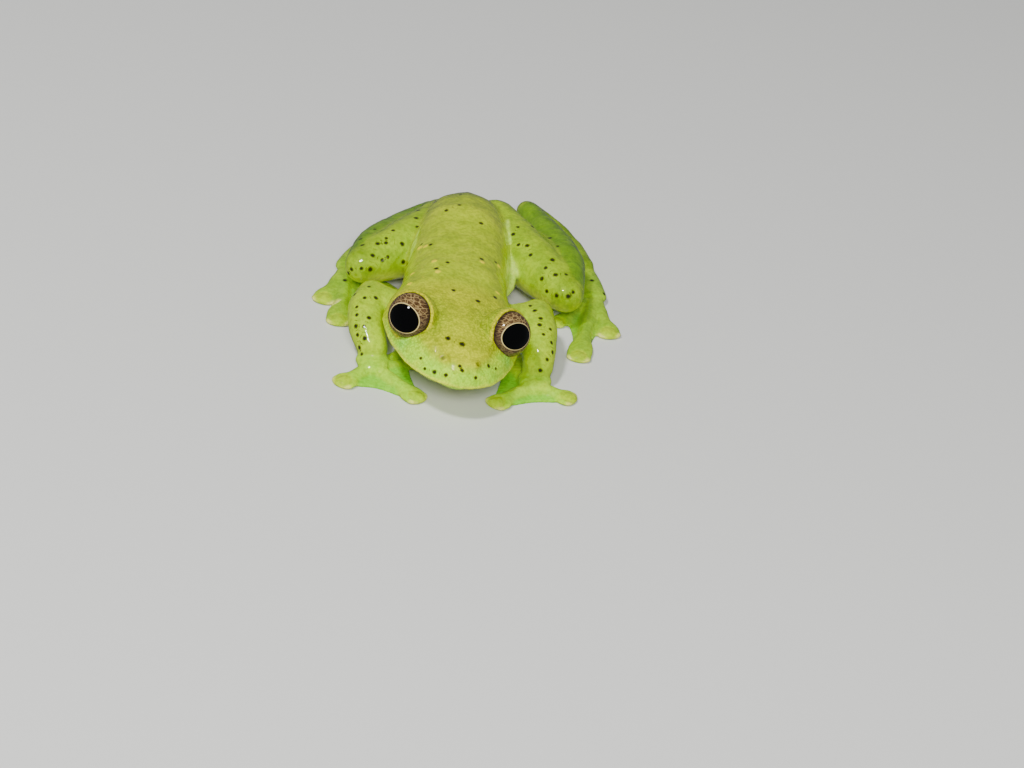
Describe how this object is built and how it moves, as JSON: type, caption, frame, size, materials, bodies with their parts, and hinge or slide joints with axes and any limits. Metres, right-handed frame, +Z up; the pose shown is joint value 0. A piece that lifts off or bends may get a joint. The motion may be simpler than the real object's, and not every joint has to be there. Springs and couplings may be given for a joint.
{
  "type": "glass frog",
  "caption": "Small tree-dwelling glass frog crouched flat on its belly with hind legs folded alongside, large forward-set eyes and round-padded webbed fingers and toes, as a still display model",
  "frame": {"origin": "on the floor under the middle of the frog's bounding box", "axes": "+Z up from the floor, -Y the way the frog faces, +X its own left side"},
  "size_m": [0.0216, 0.0288, 0.0068],
  "materials": {
    "head_skin": "wet, finely granular yellow-green skin",
    "jaw_skin": "wet pale green skin",
    "back_skin": "wet olive yellow-green skin with black and gold dots",
    "eye": "clear glossy eye with a bronze iris and a large black pupil",
    "arm_skin": "wet translucent green skin with black dots",
    "hand_skin": "wet, very translucent pale green skin",
    "leg_skin": "wet translucent green skin with black dots",
    "foot_skin": "wet, very translucent pale green skin and webs"
  },
  "bodies": {
    "root": {"head": "head_skin", "lower_jaw": "jaw_skin", "torso": "back_skin", "eye_l": "eye", "eye_r": "eye", "upper_arm_l": "arm_skin", "upper_arm_r": "arm_skin", "forearm_l": "arm_skin", "forearm_r": "arm_skin", "hand_l": "hand_skin", "hand_r": "hand_skin", "thigh_l": "leg_skin", "thigh_r": "leg_skin", "shank_l": "leg_skin", "shank_r": "leg_skin", "tarsus_l": "leg_skin", "tarsus_r": "leg_skin", "foot_l": "foot_skin", "foot_r": "foot_skin"}
  },
  "joints": []
}
